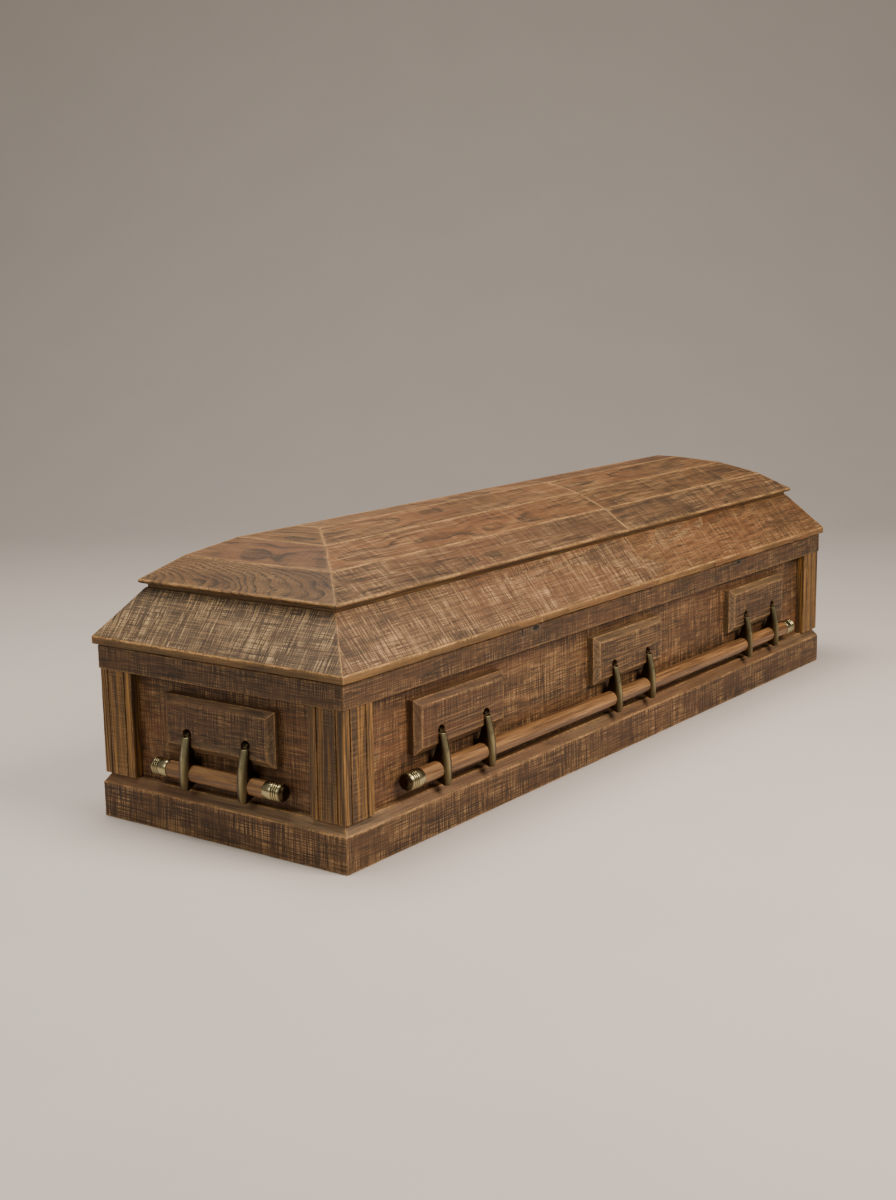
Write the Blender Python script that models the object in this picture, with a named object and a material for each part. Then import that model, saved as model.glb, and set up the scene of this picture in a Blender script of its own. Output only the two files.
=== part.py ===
"""Wooden coffin with a two-piece hipped lid and swinging bar handles.

Metres, +Z up. X runs along the length, Y across the width, and the origin is at the
bottom centre. The near end is the minus X end, the front is the minus Y side.
Most sizes are given as an offset: how far a surface lies inside the outline of the
base, the same on all four sides, so that every corner mitres at 45 degrees.
"""

import math

import bmesh
import bpy
from mathutils import Matrix

# Outline of the base
LENGTH = 2.120
WIDTH = 0.657
GAP = 0.0003

# Base moulding: plain face, bevelled top edge, flat ledge back to the walls
BASE_ARRIS_Z = 0.0735
BASE_TOP_Z = 0.0940
BASE_TOP_OFF = 0.0140

# Case walls and floor
WALL_OFF = 0.0280
WALL_T = 0.0200
WALL_BOTTOM_Z = 0.0040
FLOOR_Z = 0.0120
FLOOR_T = 0.0180

# Top rail under the lid
RAIL_OFF = 0.0020
RAIL_BOTTOM_Z = 0.3170
RAIL_TOP_Z = 0.3657

# Corner posts, with two grooves down each face
POST_OFF = 0.0045
POST_WIDTH = 0.0870
GROOVE_FROM_EDGE = 0.0200
GROOVE_TOP_W = 0.0036
GROOVE_BOTTOM_W = 0.0018
GROOVE_DEPTH = 0.0040

# Raised handle panels
PANEL_EDGE_OFF = 0.0125
PANEL_FACE_OFF = 0.0010
PANEL_BEVEL = 0.0135
PANEL_BOTTOM_Z = 0.1755
PANEL_TOP_Z = 0.2875
PANEL_LEN_SIDE = 0.3105
PANEL_LEN_END = 0.2935
PANEL_TO_END = 0.3830
ARM_SPREAD = 0.1570
HOLE_Z = 0.2125
HOLE_R = 0.0120
HOLE_DEPTH = 0.0150

# Handle: pin behind the panel face, arms, wooden bar, metal tips
PIN_OFF = 0.0060
PIN_Z = 0.2150
PIN_R = 0.0020
PIN_HALF = 0.0162
NECK_R = 0.0031
NECK_HALF = 0.0050
RIDGE = 0.0026
ARM_TOP_Z = 0.2078
BAR_OFF = 0.0040
BAR_Z = 0.1335
BAR_R = 0.0175
TIP_TO_POST_SIDE = 0.0912
TIP_TO_POST_END = 0.0590
TIP_LEN = 0.0480
TIP_R = 0.0190
RING_FROM = 0.0212
RING_WIDTH = 0.0028
RING_DEPTH = 0.0020
TIP_ROUND = 0.0050

# Lid
SPLIT_X = 0.0950
SPLIT_GAP = 0.0008
LIP_OFF = -0.0062
LIP_BOTTOM_Z = 0.3688
LIP_TOP_Z = 0.3860
LIP_REBATE_OFF = 0.0080
RIM_TOP_OFF = 0.0742
RIM_TOP_Z = 0.4825
RIM_SEAT_OFF = 0.0775
RIM_INNER_OFF = 0.1020
RIM_LEDGE = 0.0120
SKIRT_INNER_OFF = 0.0400
SKIRT_TOP_Z = 0.4020
CROWN_Z = 0.4909
CROWN_T = 0.0170
CROWN_PROFILE = (
    (0.0685, 0.4909),
    (0.0648, 0.4928),
    (0.0635, 0.4962),
    (0.0650, 0.4993),
    (0.1323, 0.5457),
    (0.2116, 0.5797),
    (0.2977, 0.5986),
)

HL = LENGTH / 2
HW = WIDTH / 2
PANEL_AWAY = HL - PANEL_TO_END
POST_END = POST_OFF + POST_WIDTH
BAR_HALF_SIDE = HL - POST_END - TIP_TO_POST_SIDE - TIP_LEN - GAP
BAR_HALF_END = HW - POST_END - TIP_TO_POST_END - TIP_LEN - GAP


def clear_scene():
    for obj in list(bpy.data.objects):
        bpy.data.objects.remove(obj, do_unlink=True)


def material(name, colour, rough, metal):
    mat = bpy.data.materials.new(name)
    mat.use_nodes = True
    node = mat.node_tree.nodes["Principled BSDF"]
    node.inputs["Base Color"].default_value = (*colour, 1.0)
    node.inputs["Roughness"].default_value = rough
    node.inputs["Metallic"].default_value = metal
    return mat


def to_mesh(name, bm):
    bmesh.ops.recalc_face_normals(bm, faces=bm.faces)
    mesh = bpy.data.meshes.new(name)
    bm.to_mesh(mesh)
    bm.free()
    return mesh


def add(name, mesh, mat=None, parent=None):
    obj = bpy.data.objects.new(name, mesh)
    bpy.context.scene.collection.objects.link(obj)
    if mat is not None:
        mesh.materials.clear()
        mesh.materials.append(mat)
    if parent is not None:
        obj.parent = parent
        mesh.transform(Matrix.Translation(-parent.location))
    return obj


def pull(bm, chain, edges, points):
    """Extrude a chain of edges so that its corners land on the next points."""
    made = bmesh.ops.extrude_edge_only(bm, edges=edges)["geom"]
    fresh = [g for g in made if isinstance(g, bmesh.types.BMVert)]
    chain = [next(v for v in fresh if bm.edges.get((old, v))) for old in chain]
    for v, p in zip(chain, points):
        v.co = p
    links = list(zip(chain[:-1], chain[1:]))
    if len(edges) == len(chain):
        links.append((chain[-1], chain[0]))
    return chain, [bm.edges.get(pair) for pair in links]


def start(bm, points, closed):
    chain = [bm.verts.new(p) for p in points]
    links = list(zip(chain[:-1], chain[1:]))
    if closed:
        links.append((chain[-1], chain[0]))
    return chain, [bm.edges.new(pair) for pair in links]


def loft(name, loops):
    """Solid drawn through closed loops of points, one after another."""
    bm = bmesh.new()
    chain, edges = start(bm, loops[0], True)
    first = edges
    for points in loops[1:]:
        chain, edges = pull(bm, chain, edges, points)
    bmesh.ops.edgeloop_fill(bm, edges=first)
    bmesh.ops.edgeloop_fill(bm, edges=edges)
    return to_mesh(name, bm)


def box(name, lo, hi):
    bm = bmesh.new()
    bmesh.ops.create_cube(bm, size=1.0)
    bmesh.ops.scale(bm, vec=[b - a for a, b in zip(lo, hi)], verts=bm.verts)
    bmesh.ops.translate(bm, vec=[(a + b) / 2 for a, b in zip(lo, hi)], verts=bm.verts)
    return to_mesh(name, bm)


def cylinder(name, axis, centre, length, radius, sides):
    """Cylinder along X or Y about a centre point."""
    turn = Matrix.Rotation(math.pi / 2, 4, "Y" if axis == "X" else "X")
    bm = bmesh.new()
    bmesh.ops.create_cone(bm, cap_ends=True, segments=sides, radius1=radius, radius2=radius,
                          depth=length, matrix=Matrix.Translation(centre) @ turn)
    return to_mesh(name, bm)


def carve(mesh, steps):
    """Apply joins and cuts, one after another, and give back the finished mesh."""
    work = add("work", mesh)
    tools = []
    for i, (kind, tool_mesh) in enumerate(steps):
        tool = add("tool_%d" % i, tool_mesh)
        tool.hide_render = True
        tool.display_type = "WIRE"
        tools.append(tool)
        mod = work.modifiers.new("step_%d" % i, "BOOLEAN")
        mod.operation = kind
        mod.solver = "EXACT"
        mod.object = tool
    bpy.context.view_layer.update()
    graph = bpy.context.evaluated_depsgraph_get()
    done = bpy.data.meshes.new_from_object(work.evaluated_get(graph))
    for obj in tools + [work]:
        bpy.data.objects.remove(obj, do_unlink=True)
    bm = bmesh.new()
    bm.from_mesh(done)
    bmesh.ops.remove_doubles(bm, verts=bm.verts, dist=0.00002)
    flat = [e for e in bm.edges if len(e.link_faces) == 2 and e.calc_face_angle(1.0) < 0.001]
    bmesh.ops.dissolve_edges(bm, edges=flat, use_verts=True)
    bm.to_mesh(done)
    bm.free()
    return done


def wall_matrix(side):
    """Turn something modelled on the front wall, centred on X, onto another wall.

    There the outline of the base lies at Y = 0 and outward is minus Y."""
    if side == "front":
        return Matrix.Translation((0, -HW, 0))
    if side == "back":
        return Matrix.Translation((0, HW, 0)) @ Matrix.Rotation(math.pi, 4, "Z")
    if side == "near":
        return Matrix.Translation((-HL, 0, 0)) @ Matrix.Rotation(-math.pi / 2, 4, "Z")
    return Matrix.Translation((HL, 0, 0)) @ Matrix.Rotation(math.pi / 2, 4, "Z")


def placed(mesh, side, along=0.0):
    out = mesh.copy()
    out.transform(wall_matrix(side) @ Matrix.Translation((along, 0, 0)))
    return out


def mitred_board(name, section, side, mat):
    """One of four boards round the case, cut at 45 degrees at both ends."""
    half = HL if side in ("front", "back") else HW
    loops = []
    for sign in (-1, 1):
        loops.append([(sign * (half - off - 0.0002), off, z) for off, z in section])
    mesh = loft(name, loops)
    mesh.transform(wall_matrix(side))
    return add(name, mesh, mat)


def post_outline():
    """Plan of the front near post, as offsets from the two outlines of the base."""
    inner = WALL_OFF - GAP
    far = POST_OFF + POST_WIDTH
    near_g = POST_OFF + GROOVE_FROM_EDGE
    far_g = far - GROOVE_FROM_EDGE
    face = []
    for centre in (near_g, far_g):
        face.append((centre - GROOVE_TOP_W / 2, POST_OFF))
        face.append((centre - GROOVE_BOTTOM_W / 2, POST_OFF + GROOVE_DEPTH))
        face.append((centre + GROOVE_BOTTOM_W / 2, POST_OFF + GROOVE_DEPTH))
        face.append((centre + GROOVE_TOP_W / 2, POST_OFF))
    long_face = face + [(far, POST_OFF), (far, inner)]
    short_face = [(b, a) for a, b in reversed(face + [(far, POST_OFF), (far, inner)])]
    return [(POST_OFF, POST_OFF)] + long_face + [(inner, inner)] + short_face


def corner_post(name, sx, sy, mat):
    z0 = BASE_TOP_Z + GAP
    z1 = RAIL_BOTTOM_Z - GAP
    plan = [(sx * (HL - a), sy * (HW - b)) for a, b in post_outline()]
    loops = [[(x, y, z) for x, y in plan] for z in (z0, z1)]
    return add(name, loft(name, loops), mat)


def panel_mesh(length):
    """Raised panel with bevelled edges, two blind holes and the pin slots behind."""
    half = length / 2
    back = WALL_OFF - GAP
    rings = []
    for off, inset in ((back, 0), (PANEL_EDGE_OFF, 0), (PANEL_FACE_OFF, PANEL_BEVEL)):
        x = half - inset
        z0 = PANEL_BOTTOM_Z + inset
        z1 = PANEL_TOP_Z - inset
        rings.append([(-x, off, z0), (x, off, z0), (x, off, z1), (-x, off, z1)])
    steps = []
    for x in (-ARM_SPREAD / 2, ARM_SPREAD / 2):
        middle = (x, PANEL_FACE_OFF + HOLE_DEPTH / 2 - 0.001, HOLE_Z)
        steps.append(("DIFFERENCE", cylinder("hole", "Y", middle, HOLE_DEPTH + 0.002, HOLE_R, 16)))
        reach = PIN_HALF + 0.0004
        room = PIN_R + 0.0003
        lo = (x - reach, PIN_OFF - room, PIN_Z - room)
        hi = (x + reach, back + 0.001, PIN_Z + room)
        steps.append(("DIFFERENCE", box("slot", lo, hi)))
    return carve(loft("panel", rings), steps)


def arm_mesh():
    """Arm with a wide leaf-shaped front, deep sides and a heel that rests on the wall."""
    heel = WALL_OFF - GAP
    clear = PANEL_FACE_OFF - 0.0008
    levels = (
        (BAR_Z - 0.0325, -0.0143, -0.0085, 0.0088),
        (BAR_Z - 0.0295, -0.0153, -0.0015, 0.0097),
        (BAR_Z - 0.0225, -0.0161, 0.0105, 0.0109),
        (BAR_Z - 0.0135, -0.0163, heel, 0.0121),
        (BAR_Z, -0.0159, heel, 0.0131),
        (BAR_Z + 0.0110, -0.0152, heel, 0.0132),
        (BAR_Z + 0.0225, -0.0142, 0.0160, 0.0130),
        (PANEL_BOTTOM_Z - 0.0055, -0.0124, 0.0105, 0.0125),
        (PANEL_BOTTOM_Z, -0.0112, 0.0095, 0.0121),
        (PANEL_BOTTOM_Z + PANEL_BEVEL, -0.0088, clear, 0.0112),
        (ARM_TOP_Z - 0.0078, -0.0064, clear, 0.0106),
    )
    loops = []
    for z, front, back, half in levels:
        ridge = front - RIDGE
        loops.append([(-half, front, z), (0, ridge, z), (half, front, z), (half, back, z), (-half, back, z)])
    front = -0.0044
    half = 0.0100
    loops.append([(-half, front, ARM_TOP_Z), (0, front - RIDGE, ARM_TOP_Z - 0.0008), (half, front, ARM_TOP_Z),
                  (half - 0.0004, clear, ARM_TOP_Z + 0.0012), (-half + 0.0004, clear, ARM_TOP_Z + 0.0012)])
    side = (
        (PIN_OFF + 0.0022, PIN_Z - 0.0022),
        (PIN_OFF + NECK_R, PIN_Z),
        (PIN_OFF + 0.0022, PIN_Z + 0.0022),
        (PIN_OFF, PIN_Z + NECK_R),
        (PANEL_FACE_OFF + 0.0002, PIN_Z),
        (clear - 0.0008, PIN_Z - 0.0032),
        (clear - 0.0008, PIN_Z - 0.0070),
        (clear + 0.0003, PIN_Z - 0.0065),
        (PANEL_FACE_OFF + 0.0020, PIN_Z - 0.0060),
        (PIN_OFF, PIN_Z - NECK_R),
    )
    neck = [[(x, off, z) for off, z in side] for x in (-NECK_HALF, NECK_HALF)]
    steps = [
        ("DIFFERENCE", cylinder("bore", "X", (0, BAR_OFF, BAR_Z), 4 * BAR_R, BAR_R + GAP, 18)),
        ("UNION", loft("neck", neck)),
        ("UNION", cylinder("pin", "X", (0, PIN_OFF, PIN_Z), 2 * PIN_HALF, PIN_R, 8)),
    ]
    return carve(loft("arm", loops), steps)


def tip_mesh():
    """Metal tip with three ring grooves and a rounded end, pointing along plus X."""
    profile = [(0.0, TIP_R)]
    for k in range(3):
        at = RING_FROM + 2 * k * RING_WIDTH
        profile += [(at, TIP_R), (at + RING_WIDTH, TIP_R - RING_DEPTH)]
    profile += [
        (RING_FROM + 6 * RING_WIDTH, TIP_R - RING_DEPTH / 4),
        (TIP_LEN - TIP_ROUND, TIP_R - TIP_ROUND / 2),
        (TIP_LEN, TIP_R - 1.6 * TIP_ROUND),
    ]
    bm = bmesh.new()
    line = [(0.0, 0.0)] + profile + [(TIP_LEN, 0.0)]
    chain, edges = start(bm, [(x, BAR_OFF + radius, BAR_Z) for x, radius in line], False)
    bmesh.ops.spin(bm, geom=chain + edges, cent=(0, BAR_OFF, BAR_Z), axis=(1, 0, 0),
                   angle=2 * math.pi, steps=12, use_merge=True)
    bmesh.ops.remove_doubles(bm, verts=bm.verts, dist=0.00001)
    bmesh.ops.dissolve_limit(bm, angle_limit=0.01, verts=bm.verts, edges=bm.edges)
    return to_mesh("tip", bm)


def smooth(mesh, limit):
    """Round parts shade smooth, with sharp edges kept where faces meet steeply."""
    for face in mesh.polygons:
        face.use_smooth = True
    bm = bmesh.new()
    bm.from_mesh(mesh)
    for edge in bm.edges:
        edge.smooth = edge.calc_face_angle(0.0) < limit
    bm.to_mesh(mesh)
    bm.free()


def handle(side, places, bar_half, brass, bar_wood, arm, tip):
    """All that swings together on one wall, hung from an empty on the pin axis."""
    axis = bpy.data.objects.new("handle_axis_" + side, None)
    bpy.context.scene.collection.objects.link(axis)
    axis.location = wall_matrix(side) @ Matrix.Translation((0, PIN_OFF, PIN_Z)).translation
    for i, along in enumerate(places):
        add("arm_%s_%d" % (side, i + 1), placed(arm, side, along), brass, axis)
    rod = cylinder("bar", "X", (0, BAR_OFF, BAR_Z), 2 * bar_half, BAR_R, 18)
    smooth(rod, math.radians(35))
    add("bar_" + side, placed(rod, side), bar_wood, axis)
    turned = tip.copy()
    turned.transform(Matrix.Translation((0, BAR_OFF, 0)) @ Matrix.Rotation(math.pi, 4, "Z")
                     @ Matrix.Translation((0, -BAR_OFF, 0)))
    reach = bar_half + GAP
    add("tip_%s_1" % side, placed(turned, side, -reach), brass, axis)
    add("tip_%s_2" % side, placed(tip, side, reach), brass, axis)


def half_ring(off, z, end, split):
    """Four points round one half of the lid: along, round the end, and back."""
    x = end * (HL - off)
    y = HW - off
    return [(split, -y, z), (x, -y, z), (x, y, z), (split, y, z)]


def lid_rim(name, end, split, mat):
    seat_z = CROWN_Z - GAP
    section = (
        (LIP_REBATE_OFF, RAIL_TOP_Z + GAP),
        (LIP_REBATE_OFF, LIP_BOTTOM_Z),
        (LIP_OFF + 0.0008, LIP_BOTTOM_Z),
        (LIP_OFF, LIP_BOTTOM_Z + 0.0014),
        (LIP_OFF, LIP_TOP_Z - 0.0020),
        (LIP_OFF + 0.0022, LIP_TOP_Z + 0.0008),
        (RIM_TOP_OFF, RIM_TOP_Z),
        (RIM_SEAT_OFF, RIM_TOP_Z),
        (RIM_SEAT_OFF, seat_z),
        (RIM_INNER_OFF, seat_z),
        (RIM_INNER_OFF, seat_z - RIM_LEDGE),
        (SKIRT_INNER_OFF, SKIRT_TOP_Z),
        (SKIRT_INNER_OFF, RAIL_TOP_Z + GAP),
    )
    rings = [half_ring(off, z, end, split) for off, z in section]
    stations = [[ring[k] for ring in rings] for k in range(4)]
    return add(name, loft(name, stations), mat)


def inside_profile():
    """The crown profile moved in by its thickness, from the seat up to the top."""
    pts = CROWN_PROFILE[3:] + ((HW, CROWN_PROFILE[-1][1]),)
    lines = []
    for (o0, z0), (o1, z1) in zip(pts[:-1], pts[1:]):
        length = math.hypot(o1 - o0, z1 - z0)
        nx = (z1 - z0) / length
        nz = -(o1 - o0) / length
        lines.append(((o0 + nx * CROWN_T, z0 + nz * CROWN_T), (o1 - o0, z1 - z0)))
    inner = []
    (p, d) = lines[0]
    t = (CROWN_Z - p[1]) / d[1]
    inner.append((p[0] + t * d[0], CROWN_Z))
    for (p, d), (q, e) in zip(lines[:-1], lines[1:]):
        cross = d[0] * e[1] - d[1] * e[0]
        t = ((q[0] - p[0]) * e[1] - (q[1] - p[1]) * e[0]) / cross
        inner.append((p[0] + t * d[0], p[1] + t * d[1]))
    return inner


def lid_crown(name, end, split, mat):
    """Thin shell of sloping boards round one half of the lid, open below."""
    bm = bmesh.new()
    outer = [half_ring(off, z, end, split) for off, z in CROWN_PROFILE]
    inner = [half_ring(off, z, end, split) for off, z in inside_profile()]
    foot, foot_edges = start(bm, outer[0], False)
    for rings in (outer[1:], inner):
        chain, edges = foot, foot_edges
        for points in rings:
            chain, edges = pull(bm, chain, edges, points)
        bmesh.ops.contextual_create(bm, geom=chain)
    rim = [e for e in bm.edges if e.is_boundary]
    bmesh.ops.edgeloop_fill(bm, edges=rim)
    return add(name, to_mesh(name, bm), mat)


def main():
    clear_scene()
    case_wood = material("case_wood", (0.085, 0.045, 0.026), 0.75, 0.0)
    trim_wood = material("trim_wood", (0.115, 0.060, 0.033), 0.72, 0.0)
    lid_wood = material("lid_wood", (0.130, 0.070, 0.038), 0.70, 0.0)
    bar_wood = material("bar_wood", (0.260, 0.140, 0.070), 0.60, 0.0)
    brass = material("handle_brass", (0.250, 0.215, 0.130), 0.38, 1.0)

    wall_in = WALL_OFF + WALL_T
    top_z = RAIL_TOP_Z
    floor = box("floor_board", (-(HL - wall_in - GAP), -(HW - wall_in - GAP), FLOOR_Z),
                (HL - wall_in - GAP, HW - wall_in - GAP, FLOOR_Z + FLOOR_T))
    add("floor_board", floor, case_wood)
    for name, sign in (("side_board_front", -1), ("side_board_back", 1)):
        ys = sorted((sign * (HW - WALL_OFF), sign * (HW - wall_in)))
        lo = (-(HL - WALL_OFF), ys[0], WALL_BOTTOM_Z)
        add(name, box(name, lo, (HL - WALL_OFF, ys[1], top_z)), case_wood)
    for name, sign in (("end_board_near", -1), ("end_board_far", 1)):
        xs = sorted((sign * (HL - WALL_OFF), sign * (HL - wall_in)))
        y = HW - wall_in - GAP
        add(name, box(name, (xs[0], -y, WALL_BOTTOM_Z), (xs[1], y, top_z)), case_wood)

    back = WALL_OFF - GAP
    base = ((0, 0), (0, BASE_ARRIS_Z), (BASE_TOP_OFF, BASE_TOP_Z), (back, BASE_TOP_Z), (back, 0))
    rail = ((RAIL_OFF, RAIL_BOTTOM_Z), (RAIL_OFF, RAIL_TOP_Z), (back, RAIL_TOP_Z), (back, RAIL_BOTTOM_Z))
    for side in ("front", "back", "near", "far"):
        mitred_board("base_board_" + side, base, side, trim_wood)
        mitred_board("top_rail_" + side, rail, side, trim_wood)
    corner_post("post_front_near", -1, -1, trim_wood)
    corner_post("post_back_near", -1, 1, trim_wood)
    corner_post("post_front_far", 1, -1, trim_wood)
    corner_post("post_back_far", 1, 1, trim_wood)

    side_panel = panel_mesh(PANEL_LEN_SIDE)
    end_panel = panel_mesh(PANEL_LEN_END)
    for side in ("front", "back"):
        for i, along in enumerate((-PANEL_AWAY, 0.0, PANEL_AWAY)):
            name = "handle_panel_%s_%d" % (side, i + 1)
            add(name, placed(side_panel, side, along), trim_wood)
    for side in ("near", "far"):
        add("handle_panel_" + side, placed(end_panel, side), trim_wood)

    arm = arm_mesh()
    tip = tip_mesh()
    smooth(tip, math.radians(40))
    reach = ARM_SPREAD / 2
    along_side = [c + s for c in (-PANEL_AWAY, 0.0, PANEL_AWAY) for s in (-reach, reach)]
    for side in ("front", "back"):
        handle(side, along_side, BAR_HALF_SIDE, brass, bar_wood, arm, tip)
    for side in ("near", "far"):
        handle(side, (-reach, reach), BAR_HALF_END, brass, bar_wood, arm, tip)

    split_near = SPLIT_X - SPLIT_GAP / 2
    split_far = SPLIT_X + SPLIT_GAP / 2
    lid_rim("lid_rim_near", -1, split_near, lid_wood)
    lid_rim("lid_rim_far", 1, split_far, lid_wood)
    lid_crown("lid_crown_near", -1, split_near, lid_wood)
    lid_crown("lid_crown_far", 1, split_far, lid_wood)


main()
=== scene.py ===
import math
import random

import bmesh
import bpy
from bpy.props import FloatProperty, FloatVectorProperty, IntProperty, PointerProperty
from mathutils import Matrix, Vector, noise


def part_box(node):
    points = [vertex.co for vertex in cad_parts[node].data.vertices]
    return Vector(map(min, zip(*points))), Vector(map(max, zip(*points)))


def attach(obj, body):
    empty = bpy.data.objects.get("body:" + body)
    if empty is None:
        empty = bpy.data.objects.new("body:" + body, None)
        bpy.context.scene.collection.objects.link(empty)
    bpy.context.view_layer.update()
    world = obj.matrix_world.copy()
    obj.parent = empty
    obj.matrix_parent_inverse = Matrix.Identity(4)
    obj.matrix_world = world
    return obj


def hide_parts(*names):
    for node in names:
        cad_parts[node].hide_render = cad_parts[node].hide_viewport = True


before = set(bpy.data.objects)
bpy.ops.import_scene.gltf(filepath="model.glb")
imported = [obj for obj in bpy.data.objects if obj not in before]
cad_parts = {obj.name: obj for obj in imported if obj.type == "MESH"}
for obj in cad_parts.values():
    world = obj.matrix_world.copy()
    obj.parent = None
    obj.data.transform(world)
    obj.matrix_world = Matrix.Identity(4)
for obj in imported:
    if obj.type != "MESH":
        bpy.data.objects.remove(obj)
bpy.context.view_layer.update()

bl_info = {
    "name": "Rustic Coffin",
    "version": (1, 0, 0),
    "blender": (4, 5, 0),
    "location": "3D View > Sidebar > Coffin",
    "description": "Dresses a wooden coffin: worn stained boards, hipped lid, bar handles",
    "category": "Object",
}

# Half length and half width of the base, read from its boards
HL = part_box("base_board_far")[1][0]
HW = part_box("base_board_back")[1][1]

# Creases of the crown: offset inside the base outline, and height
CREASES = ((0.0650, 0.4993), (0.1323, 0.5457), (0.2116, 0.5797), (0.2977, 0.5986))
SIDES = ("front", "back", "near", "far")
# Chips and cracks in the top of the front rail: the middle of each, and how far it reaches
CHIPS = (((-0.4600, -0.3265, 0.3570), (0.0036, 0.010, 0.0095)),
         ((-0.4083, -0.3265, 0.3580), (0.0120, 0.010, 0.0048)),
         ((0.5525, -0.3265, 0.3590), (0.0110, 0.010, 0.0045)))
# Stains that only some boards or places have; then the colours of the chips, whose hollows are painted shade
GREY_STAIN = (0.056, 0.045, 0.031)
GOLD_STAIN = (0.145, 0.078, 0.024)
PALE_FLECK = (0.400, 0.275, 0.135)
DULL_EDGE = (0.092, 0.055, 0.018)
POST_STRIPE = (0.330, 0.160, 0.030)
CHIP_RIM = (0.085, 0.065, 0.045)
CHIP_SHADE = (0.004, 0.003, 0.002)
# The floor and backdrop, and how far below the part the floor lies
BACKDROP_AT, BACKDROP_CURVE, FLOOR_DROP = 3.2, 3.0, 0.0005


def colour(name, value, about):
    return FloatVectorProperty(name=name, description=about, default=value, size=3,
                               min=0.0, max=1.0, subtype="COLOR")


def length(name, value, about):
    return FloatProperty(name=name, description=about, default=value, min=0.0, max=10.0,
                         subtype="DISTANCE", unit="LENGTH", precision=5)


class CoffinSizes(bpy.types.PropertyGroup):
    arris: length("Arris", 0.0013, "Rounding of the worn edges of the boards")
    lip_arris: length("Lip arris", 0.0022, "Rounding of the edges of the lid")
    wander: length("Edge wander", 0.00045, "How far the worn edges stray from straight")
    seam: length("Seam", 0.0003, "Gap between neighbouring boards of the lid")
    bar_radius: length("Bar radius", 0.0175, "Radius of the wooden grip bars")
    tip_radius: length("Tip radius", 0.0190, "Radius of the metal bar tips")
    bar_height: length("Bar height", 0.1335, "Height of the middle of the bars")
    bar_offset: length("Bar offset", 0.0040, "How far the middle of a bar lies inside the base outline")


class CoffinColours(bpy.types.PropertyGroup):
    stain_dark: colour("Dark stain", (0.024, 0.014, 0.007), "Deepest colour of the stained boards")
    stain_mid: colour("Middle stain", (0.078, 0.037, 0.014), "Main colour of the stained boards")
    stain_red: colour("Red stain", (0.128, 0.050, 0.018), "Redder patches of the boards")
    fleck: colour("Fleck", (0.410, 0.240, 0.105), "Saw marks and flecks where the stain is thin")
    worn: colour("Worn edge", (0.520, 0.285, 0.105), "Bare wood along the worn edges")
    smooth: colour("Smooth edge", (0.215, 0.132, 0.064), "Planed bevels and narrow faces")
    golden: colour("Golden edge", (0.190, 0.098, 0.027), "Edges of the lid, where the stain is thin")
    bar_light: colour("Bar light", (0.290, 0.146, 0.052), "Lighter grain of the grip bars")
    bar_dark: colour("Bar dark", (0.120, 0.056, 0.021), "Darker grain of the grip bars")
    # On the arms these two colours also stand for painted highlight and painted shade
    brass_light: colour("Brass light", (0.420, 0.365, 0.200), "Rubbed high spots of the metal")
    brass_dark: colour("Brass dark", (0.058, 0.040, 0.020), "Darkened low spots of the metal")
    floor: colour("Floor", (0.470, 0.430, 0.400), "The plain floor")


class CoffinSettings(bpy.types.PropertyGroup):
    sizes: PointerProperty(type=CoffinSizes)
    colours: PointerProperty(type=CoffinColours)
    seed: IntProperty(name="Seed", default=11, min=1, max=999,
                      description="Changes which part of the log each board is cut from")


# Material trees

def node(tree, kind, values=None, **settings):
    """Add a node, set its options, and link or set its inputs by name or number."""
    made = tree.nodes.new(kind)
    for key, value in settings.items():
        setattr(made, key, value)
    for key, value in (values or {}).items():
        put(tree, value, made.inputs[key])
    return made


def put(tree, value, socket):
    if isinstance(value, bpy.types.NodeSocket):
        tree.links.new(value, socket)
    elif socket.type == "RGBA" and len(value) == 3:
        socket.default_value = (*value, 1.0)
    else:
        socket.default_value = value


def calc(tree, operation, a, b=0.0, c=0.0, clamp=False):
    made = node(tree, "ShaderNodeMath", {0: a, 1: b, 2: c}, operation=operation, use_clamp=clamp)
    return made.outputs[0]


def blend(tree, amount, a, b, kind="MIX"):
    made = node(tree, "ShaderNodeMix", data_type="RGBA", blend_type=kind)
    put(tree, amount, made.inputs[0])
    put(tree, a, made.inputs[6])
    put(tree, b, made.inputs[7])
    return made.outputs[2]


def grade(tree, value, low, high, to_low=0.0, to_high=1.0):
    """Smooth step of a value from one range to another."""
    made = node(tree, "ShaderNodeMapRange", {0: value, 1: low, 2: high, 3: to_low, 4: to_high},
                interpolation_type="SMOOTHSTEP")
    return made.outputs[0]


def stretch(tree, vector, scale, turn=(0.0, 0.0, 0.0)):
    made = node(tree, "ShaderNodeMapping", {"Vector": vector, "Scale": scale, "Rotation": turn})
    return made.outputs[0]


def grainy(tree, vector, scale, detail=2.0, rough=0.5, colours=False):
    made = node(tree, "ShaderNodeTexNoise", {"Vector": stretch(tree, vector, scale), "Scale": 1.0,
                                              "Detail": detail, "Roughness": rough})
    return made.outputs["Color" if colours else "Fac"]


def start_material(name):
    mat = bpy.data.materials.new(name)
    mat.use_nodes = True
    tree = mat.node_tree
    return mat, tree, tree.nodes["Principled BSDF"]


def triple(tree, value):
    return node(tree, "ShaderNodeCombineXYZ", {0: value, 1: value, 2: value}).outputs[0]


def vector(tree, operation, a, b):
    return node(tree, "ShaderNodeVectorMath", {0: a, 1: b}, operation=operation).outputs[0]


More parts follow.
